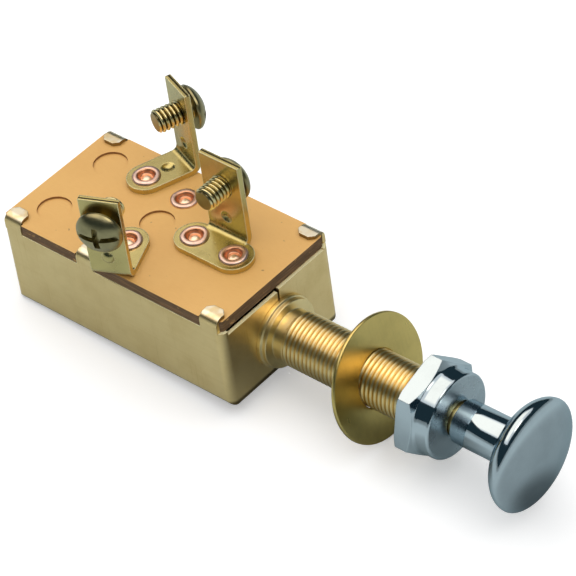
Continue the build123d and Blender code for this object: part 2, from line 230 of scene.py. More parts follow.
class SwitchStage(bpy.types.PropertyGroup):
    """Camera, lamps and cards of the studio."""

    eye: spot("Eye", "Camera's place", 0.33680, -0.31872, 0.42165)
    aim: spot("Aim", "Point in the middle of the frame", -0.004273, 0.007106, 0.003)
    roll: tilt("Roll", "Camera's turn about its own view", -8.598)
    lens: amount("Lens", "Focal length in millimetres", 209.97)
    softbox: amount("Softbox", "Brightness of the overhead panel", 1.33)
    fill: amount("Fill", "Brightness of the surroundings", 0.24)
    paper: light("Paper", "Colour of the table", 0.86, 0.86, 0.86)
    paper_lift: amount("Paper lift", "Brightness that the table gains to the eye and in metal", 0.35)
    sheen_middle: light("Panel, middle", "Middle of the panel as metal shows it", 1.68, 1.53, 1.36)
    sheen_edge: light("Panel, edge", "Rim of the panel as metal shows it", 0.9, 0.9, 0.9)
    sheen_front: light("Panel, front", "Front of the panel as metal shows it", 3.0, 2.8, 2.5)
    table_grey: light("Table card", "Grey of the sheet that metal shows", 0.57, 0.64, 0.65)
    room: light("Room band", "Dark band that polished metal shows", 0.018, 0.036, 0.046)
    room_top: light("Room top", "Upper edge of the dark band", 0.25, 0.27, 0.28)


def sizes():
    """Sizes as they stand in the scene."""
    return bpy.context.scene.switch_sizes


def finishes():
    """Colours as they stand in the scene."""
    return bpy.context.scene.switch_finishes


def wall_top():
    """Height of the case's walls, on which the board lies."""
    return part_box("case")[1].z - sizes().tab_rise


# Shader expressions


class Value:
    """A socket that takes part in Python arithmetic: each operation adds a Math node."""

    def __init__(self, shade, socket):
        self.shade = shade
        self.socket = socket

    def maths(self, operation, *values):
        inputs = dict(enumerate(values))
        return self.shade.node("ShaderNodeMath", {"operation": operation}, inputs)

    def __add__(self, other):
        return self.maths("ADD", self, other)

    def __radd__(self, other):
        return self.maths("ADD", other, self)

    def __sub__(self, other):
        return self.maths("SUBTRACT", self, other)

    def __rsub__(self, other):
        return self.maths("SUBTRACT", other, self)

    def __mul__(self, other):
        return self.maths("MULTIPLY", self, other)

    def __rmul__(self, other):
        return self.maths("MULTIPLY", other, self)

    def __abs__(self):
        return self.maths("ABSOLUTE", self)

    def either(self, other):
        """The larger of two values."""
        return self.maths("MAXIMUM", self, other)

    def step(self, low, high):
        """Smooth rise from 0 at low to 1 at high."""
        settings = {"interpolation_type": "SMOOTHSTEP"}
        return self.shade.node("ShaderNodeMapRange", settings, {0: self, 1: low, 2: high, 3: 0.0, 4: 1.0})


class Shade:
    """Node tree of a material or a world, with one method that makes its nodes."""

    def __init__(self, name, library="materials"):
        self.owner = getattr(bpy.data, library).new(name)
        self.owner.use_nodes = True
        self.tree = self.owner.node_tree

    def node(self, kind, settings=None, inputs=None, output=0):
        made = self.tree.nodes.new(kind)
        for key, value in (settings or {}).items():
            setattr(made, key, value)
        for key, value in (inputs or {}).items():
            self.feed(made.inputs[key], value)
        return Value(self, made.outputs[output])

    def feed(self, socket, value):
        if isinstance(value, Value):
            self.tree.links.new(value.socket, socket)
        elif socket.type == "RGBA":
            socket.default_value = (*tuple(value)[:3], 1.0)
        else:
            socket.default_value = value

    def place(self):
        return self.node("ShaderNodeTexCoord", output="Object")

    def stretched(self, scale):
        return self.node("ShaderNodeMapping", {}, {"Vector": self.place(), "Scale": scale})

    def noise(self, vector, scale, detail=3.0, roughness=0.55):
        inputs = {"Vector": vector, "Scale": scale, "Detail": detail, "Roughness": roughness}
        return self.node("ShaderNodeTexNoise", {}, inputs)

    def axes(self, vector):
        made = self.tree.nodes.new("ShaderNodeSeparateXYZ")
        self.feed(made.inputs[0], vector)
        return [Value(self, socket) for socket in made.outputs]

    def measure(self, operation, first, second):
        """One number from two vectors, such as their dot product."""
        inputs = {0: first, 1: second}
        return self.node("ShaderNodeVectorMath", {"operation": operation}, inputs, output="Value")

    def normal(self):
        return self.node("ShaderNodeNewGeometry", output="Normal")

    def rounded(self, radius):
        """Normal of a face whose edges are rounded."""
        return self.node("ShaderNodeBevel", {"samples": 6}, {"Radius": radius})

    def attribute(self, name):
        return self.node("ShaderNodeAttribute", {"attribute_name": name}, output="Fac")

    def seen_by(self, *kinds):
        """1 for rays of these kinds and 0 for all others."""
        rays = self.tree.nodes.new("ShaderNodeLightPath")
        seen = 0.0
        for kind in kinds:
            seen = Value(self, rays.outputs[f"Is {kind} Ray"]).either(seen)
        return seen

    def blend(self, factor, first, second):
        return self.node("ShaderNodeMix", {"data_type": "RGBA"}, {0: factor, 6: first, 7: second}, output=2)

    def bump(self, height, strength, distance, normal=None):
        inputs = {"Height": height, "Strength": strength, "Distance": distance}
        if normal is not None:
            inputs["Normal"] = normal
        return self.node("ShaderNodeBump", {}, inputs)

    def finish(self, **values):
        surface = self.tree.nodes["Principled BSDF"]
        for name, value in values.items():
            self.feed(surface.inputs[name.replace("_", " ").title()], value)
        return self.owner

    def unpolished(self):
        """Take away the gloss of a card."""
        self.tree.nodes["Principled BSDF"].inputs["Specular IOR Level"].default_value = 0.0

    def shine(self, level):
        """Finish a card that only gives light."""
        self.unpolished()
        return self.finish(base_color=BLACK, emission_strength=1.0, emission_color=level)


def rolled_sheet(name, bright, dull, base_roughness, grain, edge, streak_depth=0.5, piece_marks=None, edge_highlight_share=0.3):
    """Satin rolled brass: streaks along the grain, faint stains, a painted highlight along the edges and a
    piece's own marks.

    The painted edge highlight lies where the normal of the rounded edge leaves the face's own normal. A
    piece's own marks are wear, and for the case also painted highlights and painted shade.
    """
    shade = Shade(name)
    streak = shade.noise(shade.stretched(grain), 1.0, 4.0, 0.6)
    stain = shade.noise(shade.place(), 130.0, 4.0, 0.6)
    speck = shade.noise(shade.place(), 2600.0, 2.0)
    dullness = stain.step(0.35, 0.75) * 0.6 + streak.step(0.45, 0.8) * 0.4 * streak_depth
    tone = shade.blend(dullness, bright, dull)
    rounded = shade.rounded(edge)
    # Painted highlight: where the rounded edge's normal leaves the face's normal, the sheet turns pale and
    # less metallic
    painted_highlight = 1.0 - shade.measure("DOT_PRODUCT", rounded, shade.normal()).step(0.84, 0.985)
    tone = shade.blend(painted_highlight * edge_highlight_share, tone, finishes().edge_highlight_tint)
    metal = 1.0 - painted_highlight * edge_highlight_share
    if piece_marks:
        tone, metal = piece_marks(shade, stain, tone, metal, dull)
    return shade.finish(
        base_color=tone,
        metallic=metal,
        roughness=base_roughness + (streak - 0.5) * 0.16 * streak_depth + (stain - 0.5) * 0.10,
        normal=shade.bump(streak * 0.7 + speck * 0.3, 0.10 * streak_depth + 0.03, 0.04 * MM, rounded),
    )


def case_wear_and_painted_light(shade, stain, tone, metal, dull):
    """Case: scratched stains, painted highlights on tab and flap tops, painted shade on tab ends and at the
    foot.
    """
    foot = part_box("case")[0].z
    board_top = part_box("terminal_board")[1].z
    wall = wall_top()
    _, across, height = shade.axes(shade.place())
    facing_x, facing_y, facing_z = shade.axes(shade.normal())
    scratch = shade.noise(shade.stretched((2200.0, 2200.0, 60.0)), 1.0, 2.0)
    tone = shade.blend(scratch.step(0.60, 0.72) * stain.step(0.4, 0.6) * 0.8, tone, dull)
    patchy = shade.noise(shade.place(), 330.0, 2.0)
    # Painted highlight: upward faces of the tabs above the board turn pale, in random patches
    tab_top_highlight = height.step(board_top + 0.1 * MM, board_top + 0.6 * MM) * facing_z.step(0.2, 0.9)
    tone = shade.blend(tab_top_highlight * (0.25 + 0.6 * patchy.step(0.40, 0.56)), tone, finishes().tab_highlight_tint)
    # Painted shade: the end faces and sideways faces of the tabs at the board's top are darkened
    inner_end = (0.0 - facing_y * across).step(0.006, 0.012)
    tab_end_shade = inner_end.either(abs(facing_x).step(0.45, 0.75))
    tab_end_shade = tab_end_shade * height.step(board_top - 0.1 * MM, board_top + 0.1 * MM)
    tone = shade.blend(tab_end_shade * 0.8, tone, scaled(dull, 0.2))
    # Painted shade: the case darkens in a band at its foot, where it meets the table
    above_foot_shade = height.step(foot + 0.50 * MM, foot + 1.30 * MM)
    tone = shade.blend(above_foot_shade, scaled(dull, 0.22), tone)
    # Painted highlight: the flap tops just under the board turn pale and less metallic
    flap_top_highlight = height.step(wall - 1.15 * MM, wall - 0.95 * MM) * facing_z.step(0.5, 0.8)
    flap_top_highlight = flap_top_highlight * (1.0 - height.step(wall + 0.05 * MM, wall + 0.20 * MM))
    return shade.blend(flap_top_highlight, tone, finishes().edge_highlight_tint), metal * (1.0 - 0.75 * flap_top_highlight)


def sheared_top(side):
    """Wear of a bracket: the dark torn line that shearing leaves along its top edge."""
    mount = MOUNTS[f"{side}_wire"]
    axis = tuple(mount["axis"])
    middle = float(np.dot(mount["pos_m"], axis)) - 0.45 * MM
    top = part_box(f"{side}_terminal")[1].z

    def piece_marks(shade, stain, tone, metal, dull):
        aside = abs(shade.measure("DOT_PRODUCT", shade.place(), axis) - middle)
        height = shade.axes(shade.place())[2]
        torn = height.step(top - 0.30 * MM, top - 0.12 * MM) * (1.0 - aside.step(0.10 * MM, 0.28 * MM))
        return shade.blend(torn, tone, scaled(dull, 0.07)), metal

    return piece_marks


def turned_metal(name, bright, dull, base_roughness, hollow=None):
    """Turned or plated metal: fine mottling, and painted shade down in a thread's grooves."""
    shade = Shade(name)
    mottle = shade.noise(shade.place(), 420.0, 4.0)
    haze = shade.noise(shade.place(), 95.0, 3.0)
    tone = shade.blend(mottle.step(0.4, 0.75) * 0.55 + haze.step(0.45, 0.8) * 0.35, bright, dull)
    # Painted shade: the thread's grooves take the hollow colour, by the groove depth attribute
    if hollow:
        tone = shade.blend(shade.attribute("groove").step(0.25, 0.95), tone, hollow)
    return shade.finish(
        base_color=tone,
        metallic=1.0,
        roughness=base_roughness + (mottle - 0.5) * 0.10 + (haze - 0.5) * 0.08,
        normal=shade.bump(mottle, 0.015, 0.03 * MM),
    )


def plating(name, gloss, haze_depth):
    """Bright plating, hazy in places, with hairline wipe marks; gloss is the roughness where it has no haze
    or wipe marks.
    """
    shade = Shade(name)
    tint = finishes().chrome
    haze = shade.noise(shade.place(), 150.0, 4.0, 0.6)
    wipe = shade.noise(shade.stretched((3000.0, 260.0, 420.0)), 1.0, 3.0)
    return shade.finish(
        base_color=shade.blend(haze.step(0.35, 0.75), tint, scaled(tint, 0.88)),
        specular_tint=(0.72, 0.80, 0.84),
        metallic=1.0,
        roughness=gloss + haze.step(0.4, 0.8) * haze_depth + wipe.step(0.55, 0.8) * 0.03,
        normal=shade.bump(haze, 0.02, 0.04 * MM, shade.rounded(0.22 * MM)),
    )


def copper_metal():
    """Copper rivet: pale pink rolled rim, deeper orange down the well and a painted highlight in its middle.
    """
    shade = Shade("copper_metal")
    mottle = shade.noise(shade.place(), 900.0, 3.0)
    rim = shade.blend(mottle.step(0.4, 0.8) * 0.5, finishes().copper, finishes().copper_well)
    well = shade.blend(shade.attribute("painted_glint"), finishes().copper_well, finishes().rivet_glint_tint)
    return shade.finish(
        base_color=shade.blend(shade.attribute("well"), rim, well),
        metallic=1.0,
        roughness=0.34 + (mottle - 0.5) * 0.14,
        normal=shade.bump(mottle, 0.10, 0.04 * MM),
    )


def plain_copper():
    """Copper of the contact bridge: mottled and lightly oxidised."""
    return turned_metal("plain_copper", finishes().copper, finishes().copper_well, 0.26)


def near_sides(shade, node, start, end):
    """Rise from 0 to 1 towards the sides of a node's box, from start to end, both measured inwards."""
    low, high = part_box(node)
    rises = []
    for place, first, last in zip(shade.axes(shade.place()), low.xy, high.xy):
        from_middle = abs(place - 0.5 * (first + last))
        half = 0.5 * (last - first)
        rises.append(from_middle.step(half - start, half - end))
    return rises[0].either(rises[1])


def fibre_board():
    """Fibre board: tan face with mottling, fibres and specks, dark layered edges and paler rims at the shear
    cuts.
    """
    shade = Shade("fibre_board")
    tan = finishes().board_tan
    deep = scaled(tan, (0.88, 0.81, 0.72))
    brown = finishes().board_edge
    edge = 1.0 - abs(shade.axes(shade.normal())[2]).step(0.35, 0.75)
    outer = near_sides(shade, "terminal_board", 2.0 * MM, 1.0 * MM)
    cloud = shade.noise(shade.place(), 70.0, 4.0, 0.6)
    fibre = shade.noise(shade.stretched((700.0, 2600.0, 900.0)), 1.0, 4.0, 0.65)
    speck = shade.noise(shade.place(), 1500.0, 2.0)
    pit = shade.noise(shade.place(), 700.0, 0.0)
    layer = shade.noise(shade.stretched((160.0, 160.0, 5200.0)), 1.0, 3.0)
    chip = shade.noise(shade.stretched((520.0, 520.0, 900.0)), 1.0, 3.0)
    face = shade.blend(cloud.step(0.35, 0.75) * 0.4 + (fibre - 0.5) * 0.5, tan, deep)
    face = shade.blend(speck.step(0.72, 0.82) * 0.45, face, brown)
    face = shade.blend(pit.step(0.83, 0.87) * 0.55, face, brown)
    cut = shade.blend(layer.step(0.45, 0.75), brown, scaled(brown, 2.3))
    cut = shade.blend(chip.step(0.62, 0.74) * 0.55, cut, tan)
    rim = shade.blend(outer, finishes().board_shear, cut)
    return shade.finish(
        base_color=shade.blend(edge, face, rim),
        roughness=0.50 + (fibre - 0.5) * 0.2 + edge * 0.25,
        normal=shade.bump(fibre * (1.0 - edge) + layer * edge, 0.16, 0.06 * MM),
    )


def moulded_block():
    """Dark moulding: faint flow marks and a half-matt skin."""
    shade = Shade("moulded_block")
    dark = finishes().moulding
    flow = shade.noise(shade.stretched((90.0, 260.0, 260.0)), 1.0, 4.0)
    grain = shade.noise(shade.place(), 1800.0, 2.0)
    return shade.finish(
        base_color=shade.blend(flow.step(0.35, 0.7), dark, scaled(dark, 1.6)),
        roughness=0.42 + (grain - 0.5) * 0.2,
        normal=shade.bump(grain, 0.12, 0.05 * MM),
    )


# Surfaces


def quads(rows, columns, close_rows, close_columns):
    """Corner indices of a grid's quads, wrapping round where the grid is closed."""
    row, column = np.meshgrid(np.arange(rows if close_rows else rows - 1),
                              np.arange(columns if close_columns else columns - 1), indexing="ij")
    here = row * columns
    below = (row + 1) % rows * columns
    beside = (column + 1) % columns
    return np.stack((here + column, here + beside, below + beside, below + column), axis=-1).reshape(-1, 4)


def join_grids(name, grids, materials, crease=40.0, attributes=None):
    """Mesh of several grids: points (rows, columns, 3), closed rows, closed columns and a material each."""
    points = np.concatenate([grid[0].reshape(-1, 3) for grid in grids])
    starts = np.cumsum([0] + [grid[0].shape[0] * grid[0].shape[1] for grid in grids[:-1]])
    faces = [start + quads(*grid[0].shape[:2], grid[1], grid[2]) for start, grid in zip(starts, grids)]
    slots = np.concatenate([np.full(len(part), grid[3]) for part, grid in zip(faces, grids)])
    faces = np.concatenate(faces)
    mesh = bpy.data.meshes.new(name)
    mesh.vertices.add(len(points))
    mesh.vertices.foreach_set("co", points.ravel())
    mesh.loops.add(faces.size)
    mesh.loops.foreach_set("vertex_index", faces.ravel().astype(np.int32))
    mesh.polygons.add(len(faces))
    mesh.polygons.foreach_set("loop_start", np.arange(0, faces.size, 4, dtype=np.int32))
    mesh.polygons.foreach_set("material_index", slots.astype(np.int32))
    for label, values in (attributes or {}).items():
        layer = mesh.attributes.new(label, "FLOAT", "POINT")
        layer.data.foreach_set("value", np.ascontiguousarray(values, np.float32).ravel())
    mesh.update(calc_edges=True)
    shell = bmesh.new()
    shell.from_mesh(mesh)
    bmesh.ops.remove_doubles(shell, verts=shell.verts, dist=WELD)
    bmesh.ops.dissolve_degenerate(shell, edges=shell.edges, dist=0.05 * WELD)
    bmesh.ops.recalc_face_normals(shell, faces=shell.faces)
    shell.to_mesh(mesh)
    shell.free()
    mesh.validate()
    mesh.polygons.foreach_set("use_smooth", np.ones(len(mesh.polygons), bool))
    mesh.set_sharp_from_angle(angle=math.radians(crease))
    for material in materials:
        mesh.materials.append(material)
    piece = bpy.data.objects.new(name, mesh)
    bpy.context.scene.collection.objects.link(piece)
    return piece


def stand_for(piece, node):
    """Piece takes a node's place: it rides on the node's body and hides the node."""
    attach(piece, frame["nodes"][node]["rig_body"])
    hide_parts(node)


def bent(start, corner, end, steps):
    """Rounded corner from start A past corner P to end B: (1-t)^2 A + 2t(1-t) P + t^2 B."""
    t = np.linspace(0.0, 1.0, steps)[:, None]
    return (1 - t) ** 2 * start + 2 * t * (1 - t) * corner + t ** 2 * end


def softened(corners, cuts):
    """Outline with each corner cut back on both sides by its own length and rounded."""
    corner = np.asarray(corners, float)
    cut = np.asarray(cuts, float)[:, None]
    before = np.roll(corner, 1, axis=0) - corner
    after = np.roll(corner, -1, axis=0) - corner
    start = corner + cut * before / np.linalg.norm(before, axis=1, keepdims=True)
    end = corner + cut * after / np.linalg.norm(after, axis=1, keepdims=True)
    return bent(start[:, None], corner[:, None], end[:, None], CORNER_STEPS).reshape(-1, 2)


def around(columns):
    """Angles of one full turn."""
    return np.linspace(0.0, TAU, columns, endpoint=False)


def turned(x, r, angle):
    """Surface turned about X: (x, r cos a, r sin a)."""
    return np.stack(np.broadcast_arrays(x, r * np.cos(angle), r * np.sin(angle)), axis=-1)


def upright(surface):
    """Surface turned about X, set up so that it is turned about Z."""
    return np.roll(surface, -1, axis=-1)


def spun(outline, columns):
    """Outline of points (x, r) turned about X."""
    outline = np.asarray(outline, float)
    return turned(outline[:, :1], outline[:, 1:], around(columns))


def threaded(start, end, radius, pitch, depth, columns, narrow=1.0, lead=0.0):
    """Right-hand thread of rounded waves: r = R - depth h, with h = (1/2 + 1/2 cos)^narrow.

    The waves fade in over the first pitch, less the lead, and out before the end. Gives x, r and h.
    """
    x = np.linspace(start, end, int((end - start) / pitch * THREAD_ROWS))[:, None]
    turns = (x - start + lead) / pitch
    wave = (0.5 + 0.5 * np.cos(TAU * turns - around(columns))) ** narrow
    run_out = 0.6 * pitch
    fade = np.clip(turns, 0.0, 1.0) * np.clip((end - x) / run_out + 0.25, 0.0, 1.0)
    return x, radius - depth * wave * fade, wave * fade


def placed(points, origin, axis):
    """Points from a piece's own frame, x along its axis and z up, to the switch's frame."""
    forward = np.asarray(axis, float)
    up = np.array((0.0, 0.0, 1.0))
    across = np.cross(up, forward)
    return np.asarray(origin) + points @ np.stack((forward, across, up))


def stem_surface():
    """Stem: bore, staked rim, flange and undercut as one outline, and a thread r(x, a) on the outside."""
    s = sizes()
    low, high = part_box("stem_bushing")
    shaft_low, shaft_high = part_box("plunger_shaft")
    bore = 0.5 * (shaft_high.y - shaft_low.y) + PLAY
    radius = 0.5 * s.stem_diameter
    flange = high.y
    flange_step = flange - 0.35 * MM
    mouth_chamfer = 0.2 * MM
    end_chamfer = 0.5 * MM
    corners = [(low.x, bore), (low.x, s.staked_rim), (-s.sheet, s.staked_rim), (-s.sheet, s.stem_root),
               (0.0, s.stem_root), (0.0, flange), (0.45 * s.flange_thickness, flange),
               (0.55 * s.flange_thickness, flange_step), (s.flange_thickness, flange_step),
               (s.flange_thickness, s.undercut_radius), (s.stem_thread_start, s.undercut_radius),
               (high.x, radius)]
    cuts = np.array((0.1, 0.3, 0.05, 0.05, 0.05, 0.12, 0.12, 0.12, 0.25, 0.25, 0.05, 0.0)) * MM
    columns = 120
    head = spun(softened(corners, cuts)[:-CORNER_STEPS], columns)
    groove_depth = 0.22 * s.stem_pitch
    x, thread, groove = threaded(s.stem_thread_start, high.x, radius, s.stem_pitch, groove_depth, columns)
    rise = s.undercut_radius + x - s.stem_thread_start
    point = radius - np.maximum(x - (high.x - end_chamfer), 0.0)
    outside = turned(x, np.minimum(np.minimum(thread, rise), point), around(columns))
    mouth = spun([(high.x, bore + mouth_chamfer), (high.x - mouth_chamfer, bore)], columns)
    depth = np.pad(groove, ((len(head), len(mouth)), (0, 0)))
    return np.concatenate((head, outside, mouth)), depth


def screw_head(radius, rim, height, half_slot, cross):
    """Domed head over a lens-shaped grid: u across, v between the circle's edges, lines at each recess wall.

    x = rim + (height - rim)(1 - (u^2 + v^2)/R^2)^0.7, lowered to the floor inside the slot and the cross.
    """
    lip = 0.015 * MM
    floor_share = 0.30
    walls = np.array((-half_slot - lip, -half_slot + lip, half_slot - lip, half_slot + lip))
    u_stops = np.concatenate(((-radius,), walls, (radius,)))
    u_counts = (18, 1, 6, 1, 18)
    u = np.concatenate([np.linspace(first, last, count, endpoint=False)
                        for first, last, count in zip(u_stops, u_stops[1:], u_counts)])
    u = np.append(u, radius)[:, None]
    reach = np.sqrt(np.maximum(radius ** 2 - u ** 2, 0.0))
    inner = np.concatenate(((-cross - lip, -cross + lip), walls, (cross - lip, cross + lip)))[None, :]
    v_stops = np.concatenate((-reach, np.clip(inner, -reach, reach), reach), axis=1)
    v_counts = (10, 1, 6, 1, 6, 1, 6, 1, 10)
    share = np.concatenate([np.arange(count) / count for count in v_counts])[None, :]
    part = np.repeat(np.arange(len(v_counts)), v_counts)
    v = v_stops[:, part] + (v_stops[:, part + 1] - v_stops[:, part]) * share
    v = np.append(v, v_stops[:, -1:], axis=1)
    u = np.repeat(u, v.shape[1], axis=1)
    dome = rim + (height - rim) * (1.0 - np.clip((u ** 2 + v ** 2) / radius ** 2, 0.0, 1.0)) ** 0.7
    recess = (np.abs(v) < half_slot) | ((np.abs(u) < half_slot) & (np.abs(v) < cross))
    floor = np.minimum(dome, rim + floor_share * (height - rim))
    return np.stack((np.where(recess, floor, dome), u, v), axis=-1)


def screw_piece(side, materials):
    """Terminal screw: threaded shank, binding head with an undercut rim, and a combined slot and cross.

    The rim ends in a lip that stands a little over the dome's edge.
    """
    s = sizes()
    mount = MOUNTS[f"{side}_wire"]
    radius = 0.5 * s.screw_diameter
    point_radius = radius - 0.5 * MM
    under = s.screw_gap
    edge = under + s.head_rim
    undercut = 0.25 * MM
    undercut_rise = 0.22 * MM
    lip = 0.02 * MM
    columns = 96
    groove_depth = 0.50 * s.screw_pitch
    x, thread, groove = threaded(-s.screw_reach, under, radius, s.screw_pitch, groove_depth, columns,
                                 narrow=2.0, lead=s.screw_pitch)
    shank = turned(x, np.minimum(thread, point_radius + x + s.screw_reach), around(columns))
    tip = spun([(-s.screw_reach, ON_AXIS), (-s.screw_reach, point_radius)], columns)
    rim = spun([(under, radius), (under, s.head_radius - undercut), (under + undercut_rise, s.head_radius),
                (edge + lip, s.head_radius), (edge, s.head_radius)], columns)
    top = screw_head(s.head_radius, edge, under + s.head_height, 0.5 * s.slot_width, s.cross_reach)
    parts = ((tip, True, 0), (shank, True, 1), (rim, True, 0), (top, False, 0))
    grids = [(placed(points, mount["pos_m"], mount["axis"]), False, closed, slot)
             for points, closed, slot in parts]
    depth = [np.zeros(tip[..., 0].size), groove.ravel(), np.zeros(rim[..., 0].size + top[..., 0].size)]
    piece = join_grids(f"{side}_screw", grids, materials, 35.0, {"groove": np.concatenate(depth)})
    stand_for(piece, f"{side}_terminal_screw")


def rivet_piece(node, material):
    """Rivet: flat head below, shank, rolled rim above and an open well, turned about its own upright axis.

    The rim's radius wavers by 0.012 cos(3a + p) + 0.008 cos(5a + q), with p and q from its place.
    """
    s = sizes()
    low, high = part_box(node)
    centre = (low + high) * 0.5
    seat = high.z - s.rivet_roll
    board_under = wall_top()
    head = 0.5 * (high.x - low.x)
    shank, rim, well = s.rivet_shank, s.rivet_rim, s.rivet_well
    outside = [(low.z, ON_AXIS), (low.z, head), (board_under, head), (board_under, shank), (seat, shank),
               (seat, rim), (seat + 0.40 * MM, rim - 0.08 * MM), (seat + 0.56 * MM, rim - 0.60 * MM)]
    wall = [(seat + 0.47 * MM, well + 0.22 * MM), (seat - 0.22 * MM, well - 0.10 * MM)]
    middle = [(seat - 0.44 * MM, 0.78 * well), (seat - 0.12 * MM, 0.30 * well), (seat - 0.12 * MM, ON_AXIS)]
    cuts = np.array((0.0, 0.1, 0.05, 0.0, 0.0, 0.10, 0.26, 0.34, 0.20, 0.14, 0.14, 0.25, 0.0)) * MM
    z, r = np.split(softened(outside + wall + middle, cuts), 2, axis=1)
    columns = 72
    angle = around(columns)
    waver = 0.012 * np.cos(3.0 * angle + 40.0 * centre.x / MM) + 0.008 * np.cos(5.0 * angle + centre.y / MM)
    wavy = r * (1.0 + waver * np.clip((z - seat) / (0.3 * MM), 0.0, 1.0))
    points = upright(turned(z, wavy, angle)) + np.array((centre.x, centre.y, 0.0))
    row = np.arange(len(z))
    in_well = row >= CORNER_STEPS * len(outside)
    in_middle = row >= CORNER_STEPS * len(outside + wall)
    # Painted highlight: the middle of each well gets a pale glint colour
    painted_highlight = in_middle * np.clip((0.8 * well - r[:, 0]) / (0.4 * well), 0.0, 1.0)
    shares = {"well": np.repeat(in_well, columns), "painted_glint": np.repeat(painted_highlight, columns)}
    piece = join_grids(f"{node}_rolled", [(points, False, True, 0)], [material], 50.0, shares)
    stand_for(piece, node)


def nut_piece(materials):
    """Nut: at each angle a, back face, chamfer, flat at r = A / cos(a), crown cone, shoulder, nose, face."""
    s = sizes()
    low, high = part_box("face_nut")
    flat, nose, rounding, mouth = s.nut_flat, s.nut_nose, s.nut_rounding, s.nut_mouth
    blunt = flat / math.cos(TAU / 12) - s.nut_chamfer
    hex_front = low.x + s.nut_hexagon
    crown_slope = 0.55
    rim = high.x - 0.5 * MM
    mouth_chamfer = 0.2 * MM
    bore = 0.5 * s.stem_diameter + PLAY
    bore_end = high.x - s.nut_face
    columns = 6 * 24
    angle = around(columns)
    hexagon = flat / np.cos(np.mod(angle, TAU / 6) - TAU / 12)
    back = low.x + np.maximum(hexagon - blunt, 0.0) / 2
    hex_x = np.stack((np.full(columns, low.x), back, hex_front - crown_slope * (hexagon - flat)))
    hex_r = np.stack((np.minimum(hexagon, blunt), hexagon, hexagon))
    dip = np.linspace(0.0, 1.0, 7)
    arc = np.linspace(0.0, 0.5 * math.pi, 8)
    round_x = np.concatenate((hex_front + s.nut_shoulder * dip, rim - rounding + rounding * np.sin(arc)))
    round_r = np.concatenate((flat + (nose - flat) * dip ** 0.5, nose - rounding + rounding * np.cos(arc)))
    ring_x = np.concatenate((round_x, (high.x, high.x - mouth_chamfer, bore_end, bore_end, low.x)))
    ring_r = np.concatenate((round_r, (mouth + mouth_chamfer, mouth, mouth, bore, bore)))
    x = np.concatenate((hex_x, np.repeat(ring_x[:, None], columns, axis=1)))
    r = np.concatenate((hex_r, np.repeat(ring_r[:, None], columns, axis=1)))
    points = turned(x, r, angle + s.nut_turn)
    face = len(hex_x) + len(round_x) - 1
    inside = np.concatenate((points[face + 1:], points[:1]))
    grids = [(points[:face + 1], False, True, 0), (points[face:face + 2], False, True, 1),
             (inside, False, True, 0)]
    crease = 24.0
    piece = join_grids("face_nut_plated", grids, materials, crease)
    bevel = piece.modifiers.new("edge_rounding", "BEVEL")
    bevel.width = 0.16 * MM
    bevel.segments = 2
    bevel.limit_method = "ANGLE"
    bevel.angle_limit = math.radians(crease)
    stand_for(piece, "face_nut")


def knob_piece(material):
    """Knob: neck and root fillet, then half ellipses behind and before the rim, turned about X."""
    s = sizes()
    low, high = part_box("pull_knob")
    radius, neck, crown, back, bore = high.y, s.knob_neck, s.knob_crown, s.knob_back, s.knob_bore
    rim = high.x - crown
    socket = low.x + s.knob_socket
    chamfer = 0.25 * MM
    chamfer_bulge = 0.1 * MM
    root_angle = math.asin(neck / radius)
    fillet_angle = root_angle + 0.16
    root = np.array((rim - back * math.cos(root_angle), neck))
    meet = np.array((rim - back * math.cos(fillet_angle), radius * math.sin(fillet_angle)))
    fillet = bent(root - np.array((s.knob_fillet, 0.0)), root, meet, 9)
    a = np.linspace(fillet_angle, 0.5 * math.pi, 40)[1:]
    behind = np.stack((rim - back * np.cos(a), radius * np.sin(a)), axis=-1)
    b = np.linspace(0.5 * math.pi, 0.0, 48)[1:]
    before = np.stack((rim + crown * np.cos(b), np.maximum(radius * np.sin(b), ON_AXIS)), axis=-1)
    stub = np.array(((socket, ON_AXIS), (socket, bore), (low.x, bore), (low.x, neck - chamfer),
                     (low.x + chamfer_bulge, neck - chamfer_bulge), (low.x + chamfer, neck)))
    outline = np.concatenate((stub, fillet, behind, before))
    piece = join_grids("pull_knob_plated", [(spun(outline, 160), False, True, 0)], [material])
    stand_for(piece, "pull_knob")


def washer_piece(material):
    """Leaning washer: a rounded ring about X, leant about Y and then swung about Z."""
    s = sizes()
    low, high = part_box("panel_washer")
    half, hole, rim = 0.5 * s.washer_thickness, s.washer_hole, s.washer_rim
    cut = 0.35 * s.washer_thickness
    outline = softened([(-half, hole), (-half, rim), (half, rim), (half, hole)], [cut] * 4)
    turn = Matrix.Rotation(s.washer_swing, 3, "Z") @ Matrix.Rotation(-s.washer_lean, 3, "Y")
    ring = spun(outline, 120) @ np.array(turn).T + np.array(0.5 * (low + high))
    piece = join_grids("panel_washer_rounded", [(ring, True, True, 0)], [material])
    stand_for(piece, "panel_washer")


def dress(node, material):
    """Give a solid that keeps its own shape its finish."""
    frame["nodes"][node].material_slots[0].material = material


# Stage


def stage_sheet(name, points, close_columns, material):
    """Stage surface from one grid of points."""
    sheet = join_grids(name, [(points, False, close_columns, 0)], [material], 60.0)
    return sheet


def only_in_gloss(card):
    """Card that polished metal shows, and nothing else sees."""
    for kind in ("camera", "diffuse", "shadow", "transmission", "volume_scatter"):
        setattr(card, f"visible_{kind}", False)


def floor_height(x):
    """Height of the table at x: just under the case's rear edge and the washer's lowest edge."""
    clearance = 0.05 * MM
    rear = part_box("case")[0]
    washer, washer_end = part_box("panel_washer")
    middle = 0.5 * (washer.x + washer_end.x)
    slope = (washer.z - rear.z) / (middle - rear.x)
    return rear.z + slope * (x - rear.x) - clearance


